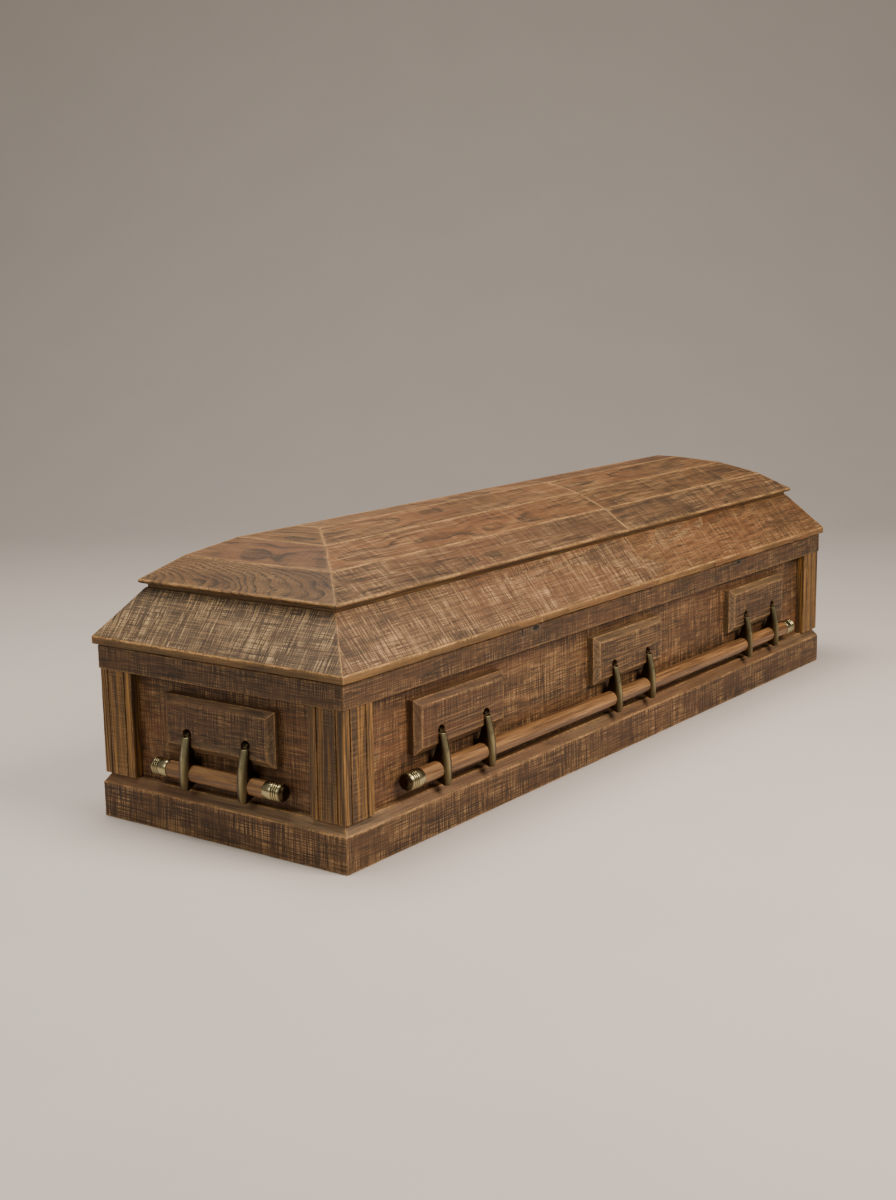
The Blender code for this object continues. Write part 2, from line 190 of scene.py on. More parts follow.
def stained_wood(name, hatch=1.0, streaks=1.0, rings=1.0, wear=1.0, red=0.5, light=1.0, edge="smooth",
                 grain=0.0, scratch=0.2, chips=()):
    """Rough-sawn board, stained dark: rings, pores, saw marks, scratches, chips with painted shade in their
    hollows, and edges rubbed bare.

    The attribute "board" holds metres along the grain, across it and into the log."""
    colours = bpy.context.scene.coffin.colours
    dark, mid, ruddy = tuple(colours.stain_dark), tuple(colours.stain_mid), tuple(colours.stain_red)
    fleck, bare_wood = tuple(colours.fleck), tuple(colours.worn)
    mat, tree, shader = start_material(name)
    board = node(tree, "ShaderNodeAttribute", attribute_name="board").outputs["Vector"]
    along = node(tree, "ShaderNodeSeparateXYZ", {0: board}).outputs[0]
    tone = node(tree, "ShaderNodeAttribute", attribute_name="tone").outputs["Fac"]
    plain = node(tree, "ShaderNodeAttribute", attribute_name="plain").outputs["Fac"]
    mood = node(tree, "ShaderNodeSeparateXYZ",
                {0: node(tree, "ShaderNodeAttribute", attribute_name="mood").outputs["Vector"]})
    grey = calc(tree, "MAXIMUM", mood.outputs[0], 0.0)
    gold = calc(tree, "MAXIMUM", calc(tree, "MULTIPLY", mood.outputs[0], -1.0), 0.0)
    bold = mood.outputs[1]
    rough = calc(tree, "MULTIPLY", calc(tree, "MULTIPLY_ADD", plain, -0.95, 1.0), mood.outputs[2])

    # Growth rings round the heart of the log, wandering a little
    sway = vector(tree, "SUBTRACT", grainy(tree, board, (1.8, 9.0, 9.0), 2.0, 0.5, True), (0.5, 0.5, 0.5))
    bent = vector(tree, "ADD", board, vector(tree, "MULTIPLY", sway, (0.0, 0.026, 0.026)))
    crowd = vector(tree, "SUBTRACT", grainy(tree, board, (7.0, 10.0, 10.0), 1.0, 0.5, True), (0.5, 0.5, 0.5))
    crowd = vector(tree, "MULTIPLY", crowd, (0.0, 0.03, 0.05))
    bent = vector(tree, "ADD", bent, vector(tree, "MULTIPLY", crowd, triple(tree, bold)))
    bent = vector(tree, "MULTIPLY", bent, triple(tree, calc(tree, "MULTIPLY_ADD", bold, -0.52, 1.0)))
    ring = node(tree, "ShaderNodeTexWave", {"Vector": bent, "Scale": 48.0, "Distortion": 1.2, "Detail": 2.0,
                                           "Detail Scale": 0.6, "Detail Roughness": 0.6},
                wave_type="RINGS", rings_direction="X", wave_profile="SAW").outputs["Fac"]
    late = calc(tree, "MULTIPLY", grade(tree, ring, 0.30, 0.95), grade(tree, ring, 1.0, 0.93))
    late = calc(tree, "MULTIPLY", late, grade(tree, grainy(tree, board, (9.0, 24.0, 24.0), 2.0),
                                                  0.34, 0.60, 0.45, 1.0))
    ring2 = node(tree, "ShaderNodeTexWave", {"Vector": bent, "Scale": 155.0, "Distortion": 2.0, "Detail": 2.0,
                                            "Detail Scale": 0.5, "Detail Roughness": 0.6},
                 wave_type="RINGS", rings_direction="X", wave_profile="SAW").outputs["Fac"]
    early = calc(tree, "MULTIPLY", grade(tree, ring2, 0.40, 0.95), bold)

    # Fibres and pores along the grain
    fibre = grainy(tree, board, (9.0, 850.0, 850.0), 2.0, 0.6)
    ridge = grainy(tree, board, (9.0, 560.0, 560.0), 1.0, 0.5)
    pore = grade(tree, fibre, 0.50, 0.30)
    line = grade(tree, ridge, 0.44, 0.60)

    # Saw marks straight across the grain, in patches, with a few long ones
    wobble = grainy(tree, board, (14.0, 14.0, 14.0), 1.0)
    across = calc(tree, "MULTIPLY_ADD", wobble, 0.004, along)
    skewed = node(tree, "ShaderNodeCombineXYZ", {0: across}).outputs[0]
    saw_at = vector(tree, "ADD", skewed, vector(tree, "MULTIPLY", board, (0.0, 1.0, 1.0)))
    saw = grainy(tree, saw_at, (520.0, 14.0, 14.0), 1.0, 0.5)
    kerf = grade(tree, saw, 0.47, 0.61)
    groove = grade(tree, saw, 0.42, 0.32)
    broad = grade(tree, grainy(tree, saw_at, (48.0, 7.0, 7.0), 2.0, 0.6), 0.46, 0.62)
    far_off = calc(tree, "ABSOLUTE", calc(tree, "SUBTRACT", grainy(tree, saw_at, (105.0, 3.5, 3.5), 1.0), 0.56))
    long_line = grade(tree, far_off, 0.018, 0.004)
    patch = grade(tree, grainy(tree, board, (9.0, 22.0, 22.0), 3.0, 0.65), 0.42, 0.58)
    break_up = grade(tree, grainy(tree, board, (60.0, 60.0, 60.0), 2.0, 0.6), 0.36, 0.60, 0.15, 1.0)
    lattice = calc(tree, "MULTIPLY", calc(tree, "MULTIPLY", kerf, line),
                   calc(tree, "MULTIPLY_ADD", patch, 0.72, 0.28))
    lattice = calc(tree, "MULTIPLY", lattice, rough)
    streak = calc(tree, "MULTIPLY", calc(tree, "MULTIPLY", kerf, broad),
                  calc(tree, "MULTIPLY_ADD", patch, 0.6, 0.4))
    streak = calc(tree, "MAXIMUM", calc(tree, "MULTIPLY", streak, 0.55),
                  calc(tree, "MULTIPLY", long_line, break_up))
    streak = calc(tree, "MULTIPLY", streak, rough)
    groove = calc(tree, "MULTIPLY", groove, rough)

    # Stain: clouds of dark, brown and red
    cloud = grainy(tree, board, (3.0, 13.0, 13.0), 4.0, 0.62)
    cloud2 = grainy(tree, board, (1.6, 6.0, 6.0), 2.0, 0.5)
    base = blend(tree, grade(tree, cloud, 0.30, 0.62, 0.30, 1.0), dark, mid)
    base = blend(tree, calc(tree, "MULTIPLY", grade(tree, cloud2, 0.40, 0.64), red), base, ruddy)
    base = blend(tree, calc(tree, "MULTIPLY", line, 0.35), base, tuple(c * 1.45 for c in ruddy))
    base = blend(tree, calc(tree, "MULTIPLY", grey, 0.72), base, GREY_STAIN)
    base = blend(tree, calc(tree, "MULTIPLY", gold, grade(tree, cloud, 0.34, 0.56, 0.15, 0.75)), base,
                 GOLD_STAIN)
    edge_colour = tuple(colours.golden if edge == "golden" else colours.smooth)
    streaky = grainy(tree, board, (5.0, 160.0, 160.0), 3.0, 0.6)
    narrow = blend(tree, grade(tree, streaky, 0.34, 0.64), tuple(c * 0.62 for c in edge_colour),
                   tuple(c * 1.15 for c in edge_colour))
    narrow = blend(tree, grade(tree, cloud2, 0.44, 0.56, 0.0, 0.55), narrow, tuple(c * 1.1 for c in ruddy))
    narrow = blend(tree, calc(tree, "MULTIPLY", grey, 0.65), narrow, DULL_EDGE)
    base = blend(tree, calc(tree, "MULTIPLY", plain, 0.85), base, narrow)
    if grain:
        long_grain = grainy(tree, board, (3.0, 330.0, 330.0), 2.0, 0.6)
        strips = grainy(tree, board, (1.6, 60.0, 60.0), 2.0, 0.5)
        stripes = blend(tree, grade(tree, long_grain, 0.38, 0.60), tuple(c * 1.1 for c in dark),
                        POST_STRIPE)
        stripes = blend(tree, grade(tree, strips, 0.38, 0.52), tuple(c * 1.6 for c in dark), stripes)
        base = blend(tree, grain, base, stripes)
    base = blend(tree, calc(tree, "MULTIPLY", early, 0.40), base, dark)
    ring_weight = calc(tree, "MULTIPLY_ADD", bold, 0.25, 0.60 * rings)
    base = blend(tree, calc(tree, "MULTIPLY", late, ring_weight, clamp=True), base, tuple(c * 0.7 for c in dark))
    base = blend(tree, calc(tree, "MULTIPLY", pore, 0.62), base, tuple(c * 0.6 for c in dark))
    base = blend(tree, calc(tree, "MULTIPLY", groove, 0.75 * hatch, clamp=True), base, dark)
    thin_stain = blend(tree, calc(tree, "MULTIPLY", grey, 0.8), fleck, PALE_FLECK)
    base = blend(tree, calc(tree, "MULTIPLY", lattice, 0.90 * hatch, clamp=True), base, thin_stain)
    base = blend(tree, calc(tree, "MULTIPLY", streak, 0.75 * streaks, clamp=True), base, thin_stain)
    drawn = grade(tree, grainy(tree, board, (6.0, 330.0, 330.0), 1.0, 0.5), 0.53, 0.66)
    drawn = calc(tree, "MULTIPLY", drawn, calc(tree, "MULTIPLY", grade(tree, cloud, 0.40, 0.62), scratch))
    base = blend(tree, drawn, base, fleck)
    base = blend(tree, 1.0, base, triple(tree, calc(tree, "MULTIPLY", tone, light)), "MULTIPLY")

    # Edges rubbed through to bare wood
    near_a = node(tree, "ShaderNodeAttribute", attribute_name="edge_a").outputs["Vector"]
    near_b = node(tree, "ShaderNodeAttribute", attribute_name="edge_b").outputs["Vector"]
    part = node(tree, "ShaderNodeSeparateXYZ", {0: vector(tree, "MINIMUM", near_a, near_b)})
    nearest = calc(tree, "MINIMUM", calc(tree, "MINIMUM", part.outputs[0], part.outputs[1]), part.outputs[2])
    ragged = grainy(tree, board, (150.0, 300.0, 300.0), 3.0, 0.7)
    edge_in = calc(tree, "MULTIPLY_ADD", calc(tree, "SUBTRACT", ragged, 0.48), -0.0075, nearest)
    patchy = grade(tree, grainy(tree, board, (13.0, 34.0, 34.0), 3.0, 0.6), 0.40, 0.60, 0.05, 1.0)
    bare = calc(tree, "MULTIPLY", grade(tree, edge_in, 0.0009, -0.0004),
                calc(tree, "MULTIPLY", patchy, 0.85 * wear),
                clamp=True)
    thin = calc(tree, "MULTIPLY", grade(tree, edge_in, 0.007, 0.0), calc(tree, "MULTIPLY_ADD", kerf, 0.7, 0.3))
    base = blend(tree, calc(tree, "MULTIPLY", thin, 0.30 * wear), base, fleck)
    worn = blend(tree, calc(tree, "MULTIPLY", pore, 0.6), bare_wood, tuple(c * 0.5 for c in fleck))
    base = blend(tree, bare, base, worn)
    if chips:
        place = node(tree, "ShaderNodeTexCoord").outputs["Object"]
        jag = grainy(tree, place, (170.0, 170.0, 170.0), 2.0, 0.6, True)
        jag = vector(tree, "SUBTRACT", jag, (0.5, 0.5, 0.5))
        place = vector(tree, "ADD", place, vector(tree, "MULTIPLY", jag, (0.007, 0.0, 0.007)))
    for middle, reach in chips:
        off = vector(tree, "DIVIDE", vector(tree, "SUBTRACT", place, middle), reach)
        far_away = node(tree, "ShaderNodeVectorMath", {0: off}, operation="LENGTH").outputs["Value"]
        base = blend(tree, grade(tree, far_away, 2.6, 1.1, 0.0, 0.4), base, CHIP_RIM)
        # Painted shade: the hollow of each chip is coloured near-black
        base = blend(tree, grade(tree, far_away, 1.1, 0.8), base, CHIP_SHADE)

    put(tree, base, shader.inputs["Base Color"])
    gloss = calc(tree, "MULTIPLY_ADD", fibre, 0.22, 0.44)
    gloss = calc(tree, "MULTIPLY_ADD", bare, -0.05, gloss)
    put(tree, gloss, shader.inputs["Roughness"])
    shader.inputs["Specular IOR Level"].default_value = 0.36
    height = calc(tree, "MULTIPLY_ADD", streak, 0.5, calc(tree, "MULTIPLY", ridge, 0.6))
    height = calc(tree, "MULTIPLY_ADD", lattice, 0.45, height)
    height = calc(tree, "MULTIPLY_ADD", groove, -0.40, height)
    height = calc(tree, "MULTIPLY_ADD", late, -0.45, height)
    height = calc(tree, "MULTIPLY_ADD", pore, -0.30, height)
    bump = node(tree, "ShaderNodeBump", {"Height": height, "Strength": 0.6, "Distance": 0.0008})
    put(tree, bump.outputs[0], shader.inputs["Normal"])
    return mat


def bar_wood(name):
    """Planed round bar: fine straight grain under a satin finish."""
    colours = bpy.context.scene.coffin.colours
    mat, tree, shader = start_material(name)
    board = node(tree, "ShaderNodeAttribute", attribute_name="board").outputs["Vector"]
    fibre = grainy(tree, board, (9.0, 520.0, 520.0), 3.0, 0.65)
    bands = grainy(tree, board, (3.0, 120.0, 120.0), 2.0, 0.5)
    base = blend(tree, grade(tree, bands, 0.36, 0.64), tuple(colours.bar_dark), tuple(colours.bar_light))
    base = blend(tree, grade(tree, fibre, 0.54, 0.36, 0.0, 0.85), base, tuple(c * 0.55 for c in colours.bar_dark))
    soil = grade(tree, grainy(tree, board, (5.0, 20.0, 20.0), 3.0, 0.6), 0.36, 0.66, 0.78, 1.08)
    base = blend(tree, 1.0, base, triple(tree, soil), "MULTIPLY")
    put(tree, base, shader.inputs["Base Color"])
    put(tree, calc(tree, "MULTIPLY_ADD", fibre, 0.2, 0.34), shader.inputs["Roughness"])
    bump = node(tree, "ShaderNodeBump", {"Height": fibre, "Strength": 0.3, "Distance": 0.0004})
    put(tree, bump.outputs[0], shader.inputs["Normal"])
    return mat


def antique_brass(name):
    """Cast brass, darkened, with the high spots rubbed, and on the arms painted highlight towards the top and
    painted shade on the back and neck.
    """
    colours = bpy.context.scene.coffin.colours
    mat, tree, shader = start_material(name)
    place = node(tree, "ShaderNodeTexCoord").outputs["Object"]
    cloud = grainy(tree, place, (45.0, 45.0, 30.0), 3.0, 0.5)
    rub = node(tree, "ShaderNodeAttribute", attribute_name="rub").outputs["Fac"]
    # On the arms the attribute mixed in here is partly painted highlight and painted shade
    shine = grade(tree, calc(tree, "MULTIPLY_ADD", cloud, 0.30, rub), 0.15, 1.10)
    base = blend(tree, shine, tuple(colours.brass_dark), tuple(colours.brass_light))
    put(tree, base, shader.inputs["Base Color"])
    shader.inputs["Metallic"].default_value = 1.0
    put(tree, calc(tree, "MULTIPLY_ADD", shine, -0.10, 0.34), shader.inputs["Roughness"])
    bump = node(tree, "ShaderNodeBump", {"Height": cloud, "Strength": 0.08, "Distance": 0.0004})
    put(tree, bump.outputs[0], shader.inputs["Normal"])
    return mat


def plain_paint(name, value, rough):
    mat, tree, shader = start_material(name)
    soft = grainy(tree, node(tree, "ShaderNodeTexCoord").outputs["Object"], (3.0, 3.0, 3.0), 3.0)
    put(tree, blend(tree, grade(tree, soft, 0.2, 0.8), tuple(value), tuple(c * 0.97 for c in value)),
        shader.inputs["Base Color"])
    shader.inputs["Roughness"].default_value = rough
    return mat


def finish(name):
    """The finish of that name, made the first time it is asked for."""
    if name in bpy.data.materials:
        return bpy.data.materials[name]
    if name == "bar oak":
        return bar_wood(name)
    if name == "antique brass":
        return antique_brass(name)
    recipe = {
        "case boards": dict(hatch=0.8, streaks=0.4, rings=1.2, wear=0.2, red=0.8, light=1.0),
        "base boards": dict(hatch=1.2, streaks=0.3, rings=0.5, wear=0.7, red=0.2, light=0.80),
        "rail boards": dict(hatch=0.8, streaks=0.2, rings=1.1, wear=0.45, red=0.2, light=0.78, chips=CHIPS),
        "post boards": dict(hatch=0.35, streaks=0.1, rings=0.9, wear=0.3, red=0.5, light=1.0, edge="golden",
                            grain=0.8),
        "panel boards": dict(hatch=0.9, streaks=0.2, rings=0.9, wear=0.8, red=0.9, light=0.64, scratch=0.55),
        "rim boards": dict(hatch=1.1, streaks=0.9, rings=0.8, wear=1.1, red=0.7, light=1.08, edge="golden"),
        "crown boards": dict(hatch=0.7, streaks=0.4, rings=1.3, wear=0.75, red=0.8, light=0.98, edge="golden",
                             scratch=0.35),
    }
    return stained_wood(name, **recipe[name])


# Shapes

def piece(name, bm, material, body, nodes=()):
    """Make the finished object from a bmesh, with its body and what it replaces."""
    mesh = bpy.data.meshes.new(name)
    bm.to_mesh(mesh)
    bm.free()
    mesh.materials.append(finish(material))
    obj = bpy.data.objects.new(name, mesh)
    bpy.context.scene.collection.objects.link(obj)
    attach(obj, body)
    if nodes:
        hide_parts(*nodes)
    return obj


def node_copy(name):
    """A CAD node as a bmesh, merged, with its flat faces joined up."""
    bm = bmesh.new()
    bm.from_mesh(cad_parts[name].data)
    bmesh.ops.remove_doubles(bm, verts=bm.verts, dist=0.00002)
    bmesh.ops.dissolve_limit(bm, angle_limit=math.radians(0.6), verts=bm.verts, edges=bm.edges)
    return bm


def keep_inside(bm, planes):
    """Cut a closed mesh down to what lies behind all these planes, and close it again."""
    for point, normal in planes:
        geom = bm.verts[:] + bm.edges[:] + bm.faces[:]
        bmesh.ops.bisect_plane(bm, geom=geom, dist=0.000001, plane_co=point, plane_no=normal,
                               clear_outer=True)
        open_edges = [e for e in bm.edges if e.is_boundary]
        if open_edges:
            bmesh.ops.holes_fill(bm, edges=open_edges, sides=0)


def round_edges(bm, width, step=0.035, angle=18.0):
    """Split long edges, round every sharp one, and mark the rounding to shade smooth."""
    for e in bm.edges[:]:
        cuts = int(e.calc_length() / step)
        if cuts > 1 and e.is_manifold and e.calc_face_angle(0.0) > math.radians(angle):
            bmesh.ops.subdivide_edges(bm, edges=[e], cuts=cuts)
    sharp = [e for e in bm.edges if e.is_manifold and e.calc_face_angle(0.0) > math.radians(angle)]
    marked = bmesh.ops.bevel(bm, geom=sharp, offset=width, offset_type="OFFSET", segments=2, profile=0.5,
                             affect="EDGES", clamp_overlap=True, material=-1)
    rounded = set(marked["faces"])
    for f in bm.faces:
        f.smooth = f in rounded
    return rounded


def stray(rounded, wander):
    """Let the rounded edges stray from straight, as worn boards do."""
    for v in {v for f in rounded for v in f.verts}:
        v.co += noise.noise_vector(v.co * 38.0) * wander + noise.noise_vector(v.co * 9.0) * wander


def grain_frame(grain, face):
    """Rows that turn a place into: along the grain, across the board, and out of its face."""
    g = Vector(grain).normalized()
    f = Vector(face)
    f = (f - g * f.dot(g)).normalized()
    return Matrix((g, f.cross(g), f))


def cut_from_log(bm, grain, face, key, lean=0.0, heart=None, mood=(0.0, 0.0, 1.0), arch=1.0):
    """Give the board its place in a log, so that rings and saw marks run true.

    The mood is: grey (or golden, below zero), boldness of the rings, and amount of saw marks.
    A high arch bends the rings sharply across the board."""
    rng = random.Random("%s %d" % (key, bpy.context.scene.coffin.seed))
    turn = grain_frame(grain, face)
    shift = Vector((rng.uniform(-6, 6), rng.uniform(-0.035, 0.035), rng.uniform(0.045, 0.11)))
    if heart is not None:
        shift = Vector(heart)
    board_tone = rng.uniform(0.86, 1.14)
    lean = lean or rng.choice((-1, 1)) * rng.uniform(0.012, 0.035)
    board = bm.loops.layers.float_vector.new("board")
    tone = bm.loops.layers.float.new("tone")
    moods = bm.loops.layers.float_vector.new("mood")
    middle = sum((v.co for v in bm.verts), Vector()) / len(bm.verts)
    for f in bm.faces:
        for loop in f.loops:
            p = turn @ (loop.vert.co - middle)
            p.z += lean * p.x
            p.y *= arch
            loop[board] = p + shift
            loop[tone] = board_tone
            loop[moods] = mood


def mark_edges(bm, rounded, sheltered=None):
    """Store on each corner of a flat face how far it lies from the face's worn edges.

    Edges that sheltered(middle point) picks out stay dark; narrow faces are marked as plain."""
    layer_a = bm.loops.layers.float_vector.new("edge_a")
    layer_b = bm.loops.layers.float_vector.new("edge_b")
    plain = bm.loops.layers.float.new("plain")
    for f in bm.faces:
        if f in rounded:
            hidden = sheltered is not None and sheltered(f.calc_center_median())
            for loop in f.loops:
                loop[plain] = 1.0
                if hidden:
                    loop[layer_a] = loop[layer_b] = (1.0, 1.0, 1.0)
            continue
        lines = []
        for loop in f.loops:
            if loop.link_loop_radial_next.face not in rounded:
                continue
            a = loop.vert.co
            d = loop.link_loop_next.vert.co - a
            inward = f.normal.cross(d.normalized())
            for known in lines:
                if known[1].dot(inward) > 0.999 and abs((a - known[0]).dot(inward)) < 0.0004:
                    known[2] += d.length
                    break
            else:
                lines.append([a.copy(), inward, d.length])
        lines = [k for k in lines if k[2] > 0.008
                 and min((loop.vert.co - k[0]).dot(k[1]) for loop in f.loops) > -0.0015]
        width = min((max((loop.vert.co - k[0]).dot(k[1]) for loop in f.loops) for k in lines), default=1.0)
        if sheltered is not None:
            lines = [k for k in lines if not sheltered(k[0])]
        lines.sort(key=lambda k: -k[2])
        for loop in f.loops:
            loop[plain] = 1.0 if width < 0.0255 else 0.0
            far = [max(0.0, (loop.vert.co - a).dot(inward)) for a, inward, _ in lines[:6]]
            far += [1.0] * (6 - len(far))
            loop[layer_a] = far[:3]
            loop[layer_b] = far[3:]


def wall_matrix(side):
    """Turn something modelled on the front wall, centred on X, onto another wall."""
    if side == "front":
        return Matrix.Translation((0, -HW, 0))
    if side == "back":
        return Matrix.Translation((0, HW, 0)) @ Matrix.Rotation(math.pi, 4, "Z")
    if side == "near":
        return Matrix.Translation((-HL, 0, 0)) @ Matrix.Rotation(-math.pi / 2, 4, "Z")
    return Matrix.Translation((HL, 0, 0)) @ Matrix.Rotation(math.pi / 2, 4, "Z")


def along_wall(side):
    return Vector((1, 0, 0)) if side in ("front", "back") else Vector((0, 1, 0))


def outward(side):
    return {"front": Vector((0, -1, 0)), "back": Vector((0, 1, 0)),
            "near": Vector((-1, 0, 0)), "far": Vector((1, 0, 0))}[side]


def worn_board(name, material, grain, face, width, tilt=0.0):
    """One CAD board made again with rounded, straying edges."""
    sizes = bpy.context.scene.coffin.sizes
    bm = node_copy(name)
    rounded = round_edges(bm, width)
    cut_from_log(bm, grain, face, name, tilt)
    mark_edges(bm, rounded)
    stray(rounded, sizes.wander)
    return piece("worn_" + name, bm, material, "case", (name,))


def join(parts, name, material, body, nodes):
    """Put several boards, each a bmesh, together in one piece."""
    whole = bmesh.new()
    for part in parts:
        mesh = bpy.data.meshes.new("part")
        part.to_mesh(mesh)
        part.free()
        whole.from_mesh(mesh)
        bpy.data.meshes.remove(mesh)
    return piece(name, whole, material, body, nodes)


def hip_planes(end, side, gap):
    """Planes of the mitres that close off one side of a half of the lid."""
    s = 2 ** -0.5
    planes = []
    if side in ("front", "back"):
        y = -1 if side == "front" else 1
        corner = Vector((end * HL, y * HW, 0))
        planes.append((corner, Vector((end * s, -y * s, 0))))
    else:
        for y in (-1, 1):
            corner = Vector((end * HL, y * HW, 0))
            planes.append((corner, Vector((-end * s, y * s, 0))))
    return [(p - n * gap, n) for p, n in planes]


def crease_plane(side, index, up, gap):
    """Plane square to the lid's surface along one of its creases; up keeps what is above."""
    def way(i):
        if i < 0:
            return Vector((0.0, 1.0))
        if i > 2:
            return Vector((1.0, 0.0))
        (o0, z0), (o1, z1) = CREASES[i], CREASES[i + 1]
        return Vector((o1 - o0, z1 - z0)).normalized()
    d = (way(index - 1) + way(index)).normalized()
    inward = -outward(side)
    off, z = CREASES[index]
    half = HL if side in ("near", "far") else HW
    point = -inward * (half - off) + Vector((0, 0, z))
    normal = inward * d.x + Vector((0, 0, d.y))
    if up:
        normal = -normal
    return point - normal * gap, normal


class PieceMaker:
    """What all the operators that make pieces share."""
    bl_options = {"REGISTER", "UNDO"}

    def execute(self, context):
        noise.seed_set(context.scene.coffin.seed)  # left unset, the noise is seeded from the clock
        self.build(context.scene.coffin)
        return {"FINISHED"}


class COFFIN_OT_walls(PieceMaker, bpy.types.Operator):
    """Make the four walls and the floor of the case"""
    bl_idname = "coffin.walls"
    bl_label = "Walls and floor"

    def build(self, coffin):
        arris = coffin.sizes.arris * 0.7
        worn_board("floor_board", "case boards", (1, 0, 0), (0, 0, 1), arris)
        for side in SIDES:
            name = ("side_board_" if side in ("front", "back") else "end_board_") + side
            worn_board(name, "case boards", along_wall(side), outward(side), arris)


class COFFIN_OT_base(PieceMaker, bpy.types.Operator):
    """Make the base moulding and the rail under the lid"""
    bl_idname = "coffin.base_and_rails"
    bl_label = "Base and rails"

    def build(self, coffin):
        for side in SIDES:
            worn_board("base_board_" + side, "base boards", along_wall(side), outward(side),
                       coffin.sizes.arris)
            worn_board("top_rail_" + side, "rail boards", along_wall(side), outward(side),
                       coffin.sizes.arris)


class COFFIN_OT_posts(PieceMaker, bpy.types.Operator):
    """Make the grooved corner posts"""
    bl_idname = "coffin.posts"
    bl_label = "Corner posts"

    def build(self, coffin):
        for y in ("front", "back"):
            for x in ("near", "far"):
                face = outward(y) + outward(x) * 0.3
                worn_board("post_%s_%s" % (y, x), "post boards", (0, 0, 1), face,
                           coffin.sizes.arris * 0.7)


class COFFIN_OT_panels(PieceMaker, bpy.types.Operator):
    """Make the raised panels that carry the handles"""
    bl_idname = "coffin.panels"
    bl_label = "Handle panels"

    def build(self, coffin):
        names = ["front_%d" % i for i in (1, 2, 3)] + ["back_%d" % i for i in (1, 2, 3)] + ["near", "far"]
        for tail in names:
            side = tail.split("_")[0]
            worn_board("handle_panel_" + tail, "panel boards", along_wall(side), outward(side),
                       coffin.sizes.arris)


class COFFIN_OT_rim(PieceMaker, bpy.types.Operator):
    """Make the sloping boards of the lid's rim, mitred at the corners"""
    bl_idname = "coffin.lid_rim"
    bl_label = "Lid rim"

    def build(self, coffin):
        for half, end in (("near", -1), ("far", 1)):
            parts = []
            for side in ("front", half, "back"):
                bm = node_copy("lid_rim_" + half)
                keep_inside(bm, hip_planes(end, side, coffin.sizes.seam / 2))
                rounded = round_edges(bm, coffin.sizes.lip_arris * 0.6)
                face = outward(side) + Vector((0, 0, 0.85))
                mood = {"near": (1.0, 0.0, 0.95), "far": (0.7, 0.0, 1.0), "front": (0.30, 0.0, 0.75),
                        "back": (0.4, 0.0, 0.85)}[side]
                # Painted shade: the far half of the front rim gets a darker mood, for the light falling off
                # towards the far end
                if half == "far" and side == "front":
                    mood = (-0.15, 0.5, 0.5)
                cut_from_log(bm, along_wall(side), face, "rim" + half + side, mood=mood)
                mark_edges(bm, rounded, lambda p: p.z > 0.474 or p.z < 0.372)
                stray(rounded, coffin.sizes.wander * 1.8)
                parts.append(bm)
            join(parts, "rim_boards_" + half, "rim boards", "case", ("lid_rim_" + half,))


class COFFIN_OT_crown(PieceMaker, bpy.types.Operator):
    """Make the sloping boards and the flat top of the lid's crown"""
    bl_idname = "coffin.lid_crown"
    bl_label = "Lid crown"

    def build(self, coffin):
        seam = coffin.sizes.seam / 2
        for half, end in (("near", -1), ("far", 1)):
            parts = []
            for side in ("front", half, "back", "top"):
                for i in range(3):
                    if side == "top" and i:
                        continue
                    bm = node_copy("lid_crown_" + half)
                    if side == "top":
                        planes = [crease_plane(s, 3, True, seam) for s in ("front", "back", half)]
                        grain, face = Vector((1, 0, 0)), Vector((0, 0, 1))
                    else:
                        planes = hip_planes(end, side, seam)
                        if i > 0:
                            planes.append(crease_plane(side, i, True, seam))
                        planes.append(crease_plane(side, i + 1, False, seam))
                        (o0, z0), (o1, z1) = CREASES[i], CREASES[i + 1]
                        grain = along_wall(side)
                        face = outward(side) * (z1 - z0) + Vector((0, 0, o1 - o0))
                    keep_inside(bm, planes)
                    rounded = round_edges(bm, coffin.sizes.arris * 0.6)
                    bold = side == "near" and i == 0
                    mood = (-0.15, 0.3, 0.6)
                    if side == half:
                        mood = (-0.8, 0.9, 0.2) if bold else (-0.5, 0.5, 0.25)
                    elif i == 0 and side != "top":
                        mood = (0.25, 0.2, 0.95)
                    if bold:
                        cut_from_log(bm, grain, face, "near arch", -0.42, (0.0, -0.030, 0.128), mood, 2.2)
                    else:
                        cut_from_log(bm, grain, face, "crown%s%s%d" % (half, side, i), mood=mood)
                    mark_edges(bm, rounded, lambda p: p.z < 0.4962)
                    stray(rounded, coffin.sizes.wander)
                    parts.append(bm)
            join(parts, "crown_boards_" + half, "crown boards", "case", ("lid_crown_" + half,))


def loft(bm, loops):
    """Extrude a ring of points from one section to the next, and close both ends."""
    ring = [bm.verts.new(p) for p in loops[0]]
    edges = [bm.edges.new((ring[i], ring[(i + 1) % len(ring)])) for i in range(len(ring))]
    caps = [edges]
    for loop in loops[1:]:
        step = bmesh.ops.extrude_edge_only(bm, edges=edges)["geom"]
        follow = {}
        new_verts = [g for g in step if isinstance(g, bmesh.types.BMVert)]
        for v in new_verts:
            for e in v.link_edges:
                other = e.other_vert(v)
                if other in ring:
                    follow[ring.index(other)] = v
        ring = [follow[i] for i in range(len(ring))]
        for v, p in zip(ring, loop):
            v.co = p
        edges = [bm.edges.get((ring[i], ring[(i + 1) % len(ring)])) for i in range(len(ring))]
    caps.append(edges)
    for cap in caps:
        bmesh.ops.edgeloop_fill(bm, edges=cap)
    bmesh.ops.recalc_face_normals(bm, faces=bm.faces)


